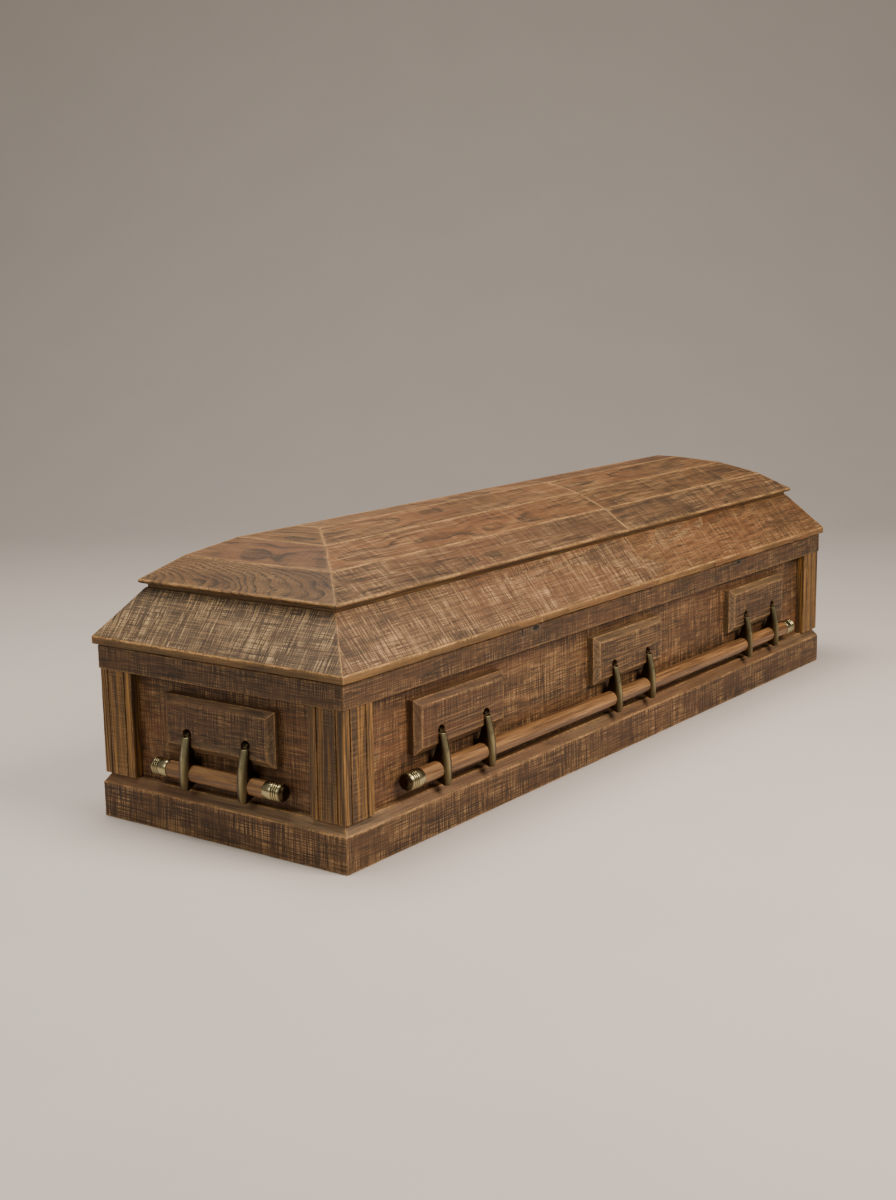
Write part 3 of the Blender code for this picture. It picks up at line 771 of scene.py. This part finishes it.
HEEL = 0.0277
ARM_LEVELS = (
    (0.1010, -0.0143, -0.0085, 0.0088),
    (0.1040, -0.0153, -0.0015, 0.0097),
    (0.1110, -0.0161, 0.0105, 0.0109),
    (0.1200, -0.0163, HEEL, 0.0121),
    (0.1335, -0.0159, HEEL, 0.0131),
    (0.1445, -0.0152, HEEL, 0.0132),
    (0.1560, -0.0142, 0.0160, 0.0130),
    (0.1700, -0.0124, 0.0105, 0.0125),
    (0.1755, -0.0112, 0.0095, 0.0121),
    (0.1890, -0.0088, 0.0002, 0.0112),
    (0.2000, -0.0064, 0.0002, 0.0106),
    (0.2078, -0.0044, 0.0002, 0.0100),
    (0.2150, -0.0024, 0.0002, 0.0094),
)


def between(p0, p1, p2, p3, t):
    """Smooth curve through four values, from the second to the third."""
    return 0.5 * (2 * p1 + (p2 - p0) * t + (2 * p0 - 5 * p1 + 4 * p2 - p3) * t * t
                  + (3 * p1 - p0 - 3 * p2 + p3) * t ** 3)


def arm_shape():
    """Arm with a wide rounded front, cut off at a slant where it meets its hole."""
    levels = []
    last = len(ARM_LEVELS) - 1
    for k in range(last):
        four = [ARM_LEVELS[min(last, max(0, k + j))] for j in (-1, 0, 1, 2)]
        for t in (0.0, 0.34, 0.67):
            z = four[1][0] + (four[2][0] - four[1][0]) * t
            back = four[1][2] + (four[2][2] - four[1][2]) * t
            front, half = [between(*(row[i] for row in four), t) for i in (1, 3)]
            levels.append((z, front, back, half))
    levels.append(ARM_LEVELS[last])
    loops = []
    for z, front, back, half in levels:
        deep = back - front
        curve = ((0.0, -0.0037), (0.06, -0.0034), (0.28, -0.0021), (0.58, -0.0006), (0.84, 0.0006),
                 (0.95, 0.0016), (1.0, 0.0028))
        side = ((0.99, 0.30), (0.96, 0.60), (0.93, 0.90), (0.88, 0.98), (0.60, 1.0))
        half_loop = [(half * x, front + min(d, deep * 0.4)) for x, d in curve]
        half_loop += [(half * x, front + deep * max(d, 0.42)) for x, d in side]
        loop = half_loop + [(-x, y) for x, y in reversed(half_loop[1:])]
        loops.append([(x, y, z) for x, y in loop])
    bm = bmesh.new()
    loft(bm, loops)
    keep_inside(bm, [(Vector((0, -0.0044, 0.2078)), Vector((0, -0.252, 0.968)))])
    crisp = [e for e in bm.edges if e.is_manifold and e.calc_face_angle(0.0) > math.radians(50)
             and min(v.co.z for v in e.verts) > 0.19]
    bmesh.ops.bevel(bm, geom=crisp, offset=0.0005, offset_type="OFFSET", segments=2, profile=0.5,
                    affect="EDGES", clamp_overlap=True, material=-1)
    return bm


def neck_shape():
    """The neck that goes back through the hole to the pin."""
    side = ((0.0082, 0.2128), (0.0091, 0.2150), (0.0082, 0.2172), (0.0060, 0.2181), (0.0012, 0.2150),
            (-0.0006, 0.2118), (-0.0006, 0.2080), (0.0005, 0.2085), (0.0030, 0.2090), (0.0060, 0.2119))
    bm = bmesh.new()
    loft(bm, [[(x, y, z) for y, z in side] for x in (-0.0050, 0.0050)])
    bmesh.ops.bevel(bm, geom=bm.edges[:], offset=0.0005, offset_type="OFFSET", segments=2, profile=0.5,
                    affect="EDGES", clamp_overlap=True, material=-1)
    return bm


def pin_shape():
    return spun([(-0.0135, 0.0), (-0.0135, 0.0020), (0.0135, 0.0020), (0.0135, 0.0)], (0, 0.0060, 0.2150), 16)


def spun(profile, centre, steps=48):
    """Turn a profile of (along X, radius) once round an axis along X through centre."""
    bm = bmesh.new()
    verts = [bm.verts.new((x, centre[1] + r, centre[2])) for x, r in profile]
    edges = [bm.edges.new(pair) for pair in zip(verts[:-1], verts[1:])]
    bmesh.ops.spin(bm, geom=verts + edges, cent=centre, axis=(1, 0, 0), angle=2 * math.pi, steps=steps,
                   use_merge=True, use_duplicate=False)
    bmesh.ops.remove_doubles(bm, verts=bm.verts, dist=0.000005)
    bmesh.ops.recalc_face_normals(bm, faces=bm.faces)
    return bm


def soften(bm, limit=35.0):
    for f in bm.faces:
        f.smooth = True
    for e in bm.edges:
        if e.is_manifold:
            e.smooth = e.calc_face_angle(0.0) < math.radians(limit)


def store_rub_and_painted_light(bm, centre_of, low, high):
    """Store how rubbed each point is, from a measure of its place that runs from low to high; on the arms the
    measure also holds painted highlight and painted shade.
    """
    layer = bm.verts.layers.float.new("rub")
    for v in bm.verts:
        d = centre_of(v.co)
        v[layer] = min(1.0, max(0.0, (d - low) / (high - low)))


def arm_rub_and_painted_light(p):
    """Rubbed along the ridge; painted highlight grows towards the top, which tilts up to the light; the back and
    the neck in its hole are kept dark as painted shade.
    """
    if p.y >= 0.001 or p.z >= 0.2085:
        return 0.0
    return (1 - abs(p.x) / 0.012) * (p.z - 0.070)


class COFFIN_OT_arms(PieceMaker, bpy.types.Operator):
    """Make the metal arms of the handles"""
    bl_idname = "coffin.arms"
    bl_label = "Handle arms"

    def build(self, coffin):
        for side in SIDES:
            count = 6 if side in ("front", "back") else 2
            for i in range(count):
                name = "arm_%s_%d" % (side, i + 1)
                lo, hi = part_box(name)
                middle = (Vector(lo) + Vector(hi)) / 2
                at = (wall_matrix(side).inverted() @ middle).x
                whole = bmesh.new()
                for shape in (arm_shape(), neck_shape(), pin_shape()):
                    soften(shape, 50.0)
                    mesh = bpy.data.meshes.new("part")
                    shape.to_mesh(mesh)
                    shape.free()
                    whole.from_mesh(mesh)
                    bpy.data.meshes.remove(mesh)
                # Arms: rub along the ridge plus painted highlight towards the top and painted shade on the back
                # and neck
                store_rub_and_painted_light(whole, arm_rub_and_painted_light, 0.004, 0.120)
                whole.transform(wall_matrix(side) @ Matrix.Translation((at, 0, 0)))
                piece("cast_" + name, whole, "antique brass", "handle_" + side, (name,))


class COFFIN_OT_bars(PieceMaker, bpy.types.Operator):
    """Make the round wooden grip bars"""
    bl_idname = "coffin.bars"
    bl_label = "Grip bars"

    def build(self, coffin):
        sizes = coffin.sizes
        for side in SIDES:
            name = "bar_" + side
            lo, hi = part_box(name)
            half = (hi[0] - lo[0]) / 2 if side in ("front", "back") else (hi[1] - lo[1]) / 2
            r = sizes.bar_radius
            profile = [(-half, 0.0), (-half, r - 0.0008), (-half + 0.0008, r)]
            count = max(4, int(half / 0.04))
            profile += [(-half + 0.0008 + (2 * half - 0.0016) * k / count, r) for k in range(1, count)]
            profile += [(half - 0.0008, r), (half, r - 0.0008), (half, 0.0)]
            bm = spun(profile, (0, sizes.bar_offset, sizes.bar_height), 40)
            for v in bm.verts:
                if abs(v.co.x) < half - 0.001:
                    v.co += noise.noise_vector(v.co * 14.0) * 0.00025
            soften(bm)
            cut_from_log(bm, (1, 0, 0), (0, -1, 0), name)
            bm.transform(wall_matrix(side))
            piece("turned_" + name, bm, "bar oak", "handle_" + side, (name,))


class COFFIN_OT_tips(PieceMaker, bpy.types.Operator):
    """Make the ringed metal tips of the bars"""
    bl_idname = "coffin.tips"
    bl_label = "Bar tips"

    def build(self, coffin):
        sizes = coffin.sizes
        r = sizes.tip_radius
        profile = [(0.0, 0.0), (0.0, r - 0.0012), (0.0004, r - 0.0004), (0.0011, r), (0.0204, r)]
        for k in range(3):
            at = 0.0212 + 0.0056 * k
            profile += [(at, r - 0.0003), (at + 0.0006, r - 0.0014), (at + 0.0012, r - 0.0022),
                        (at + 0.0022, r - 0.0022), (at + 0.0028, r - 0.0012), (at + 0.0034, r - 0.0002),
                        (at + 0.0040, r), (at + 0.0050, r)]
        profile += [(0.0385, r - 0.0007), (0.0405, r - 0.0013), (0.0430, r - 0.0026), (0.0455, r - 0.0048),
                    (0.0472, r - 0.0078), (0.0479, r - 0.0110), (0.0480, 0.0)]
        for side in SIDES:
            for i in (1, 2):
                name = "tip_%s_%d" % (side, i)
                lo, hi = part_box(name)
                here = [wall_matrix(side).inverted() @ Vector(c) for c in (lo, hi)]
                xs = sorted(p.x for p in here)
                bm = spun(profile, (0, sizes.bar_offset, sizes.bar_height))
                if i == 1:
                    mirror = Matrix.Scale(-1, 4, (1, 0, 0))
                    bm.transform(mirror)
                    bmesh.ops.reverse_faces(bm, faces=bm.faces)
                    bm.transform(Matrix.Translation((xs[1], 0, 0)))
                else:
                    bm.transform(Matrix.Translation((xs[0], 0, 0)))
                soften(bm, 60.0)
                off, high = sizes.bar_offset, sizes.bar_height
                store_rub_and_painted_light(bm, lambda p: math.hypot(p.y - off, p.z - high), r - 0.0022, r + 0.0004)
                bm.transform(wall_matrix(side))
                piece("ringed_" + name, bm, "antique brass", "handle_" + side, (name,))


class COFFIN_OT_stage(bpy.types.Operator):
    """Set up the camera, the floor and the soft studio lights"""
    bl_idname = "coffin.stage"
    bl_label = "Stage"
    bl_options = {"REGISTER", "UNDO"}

    def execute(self, context):
        scene = context.scene
        cam_data = bpy.data.cameras.new("Camera")
        cam_data.lens = 50.551
        cam_data.sensor_width = 36.0
        camera = bpy.data.objects.new("Camera", cam_data)
        yaw, pitch, roll = math.radians(36.187), math.radians(11.010), math.radians(-0.880)
        forward = Vector((math.cos(yaw) * math.cos(pitch), math.sin(yaw) * math.cos(pitch), -math.sin(pitch)))
        right = Vector((math.sin(yaw), -math.cos(yaw), 0.0))
        up = right.cross(forward)
        right2 = right * math.cos(roll) + up * math.sin(roll)
        up2 = up * math.cos(roll) - right * math.sin(roll)
        turn = Matrix((right2, up2, -forward)).transposed().to_4x4()
        camera.matrix_world = Matrix.Translation((-3.36689, -2.25858, 1.10807)) @ turn
        scene.collection.objects.link(camera)
        scene.camera = camera

        # Floor that curves up into a backdrop, square to the view
        line = [(-14.0, 0.0), (BACKDROP_AT, 0.0)]
        for k in range(6, 91, 6):
            a = math.radians(k)
            line.append((BACKDROP_AT + BACKDROP_CURVE * math.sin(a),
                         BACKDROP_CURVE - BACKDROP_CURVE * math.cos(a)))
        line.append((BACKDROP_AT + BACKDROP_CURVE, 12.0))
        bm = bmesh.new()
        verts = [bm.verts.new((x, -16.0, z - FLOOR_DROP)) for x, z in line]
        edges = [bm.edges.new(pair) for pair in zip(verts[:-1], verts[1:])]
        swept = bmesh.ops.extrude_edge_only(bm, edges=edges)["geom"]
        bmesh.ops.translate(bm, vec=(0, 32.0, 0), verts=[g for g in swept if isinstance(g, bmesh.types.BMVert)])
        bmesh.ops.recalc_face_normals(bm, faces=bm.faces)
        bm.transform(Matrix.Rotation(yaw, 4, "Z"))
        for f in bm.faces:
            f.smooth = True
            if f.normal.z < 0:
                f.normal_flip()
        floor_mesh = bpy.data.meshes.new("floor")
        bm.to_mesh(floor_mesh)
        bm.free()
        floor = bpy.data.objects.new("floor", floor_mesh)
        floor_mesh.materials.append(plain_paint("floor paint", scene.coffin.colours.floor, 0.9))
        scene.collection.objects.link(floor)

        world = bpy.data.worlds.new("studio")
        scene.world = world
        world.use_nodes = True
        world.node_tree.nodes["Background"].inputs[0].default_value = (0.80, 0.78, 0.76, 1.0)
        world.node_tree.nodes["Background"].inputs[1].default_value = 0.26
        self.lamp(scene, "key", (-0.2, -3.2, 3.0), (-0.1, 0.0, 0.3), 2.0, 250.0, (1.0, 0.88, 0.75))
        self.lamp(scene, "fill", (-4.4, 0.6, 2.4), (-0.6, 0.0, 0.3), 2.0, 46.0, (1.0, 0.95, 0.82))
        self.lamp(scene, "top", (-0.7, 0.5, 4.0), (-0.2, 0.0, 0.4), 2.6, 225.0, (1.0, 0.93, 0.83))
        return {"FINISHED"}

    def lamp(self, scene, name, place, target, size, power, tint):
        data = bpy.data.lights.new(name, "AREA")
        data.energy = power
        data.size = size
        data.color = tint
        lamp = bpy.data.objects.new(name, data)
        lamp.location = place
        lamp.rotation_euler = (Vector(target) - Vector(place)).to_track_quat("-Z", "Y").to_euler()
        scene.collection.objects.link(lamp)


MAKERS = (COFFIN_OT_walls, COFFIN_OT_base, COFFIN_OT_posts, COFFIN_OT_panels, COFFIN_OT_rim, COFFIN_OT_crown,
          COFFIN_OT_arms, COFFIN_OT_bars, COFFIN_OT_tips)


class COFFIN_PT_panel(bpy.types.Panel):
    """Sidebar panel that lists the sizes, the colours and the pieces"""
    bl_idname = "COFFIN_PT_panel"
    bl_label = "Rustic Coffin"
    bl_space_type = "VIEW_3D"
    bl_region_type = "UI"
    bl_category = "Coffin"

    def draw(self, context):
        coffin = context.scene.coffin
        layout = self.layout
        for group in (coffin.sizes, coffin.colours):
            column = layout.column(align=True)
            for name in group.__annotations__:
                column.prop(group, name)
        layout.prop(coffin, "seed")
        column = layout.column(align=True)
        for maker in MAKERS + (COFFIN_OT_stage,):
            column.operator(maker.bl_idname)


CLASSES = (CoffinSizes, CoffinColours, CoffinSettings) + MAKERS + (COFFIN_OT_stage, COFFIN_PT_panel)


def register():
    for cls in CLASSES:
        bpy.utils.register_class(cls)
    bpy.types.Scene.coffin = PointerProperty(type=CoffinSettings)


def unregister():
    del bpy.types.Scene.coffin
    for cls in reversed(CLASSES):
        bpy.utils.unregister_class(cls)


def main():
    register()
    bpy.ops.coffin.stage()
    bpy.ops.coffin.walls()
    bpy.ops.coffin.base_and_rails()
    bpy.ops.coffin.posts()
    bpy.ops.coffin.panels()
    bpy.ops.coffin.lid_rim()
    bpy.ops.coffin.lid_crown()
    bpy.ops.coffin.arms()
    bpy.ops.coffin.bars()
    bpy.ops.coffin.tips()


if __name__ == "__main__":
    main()
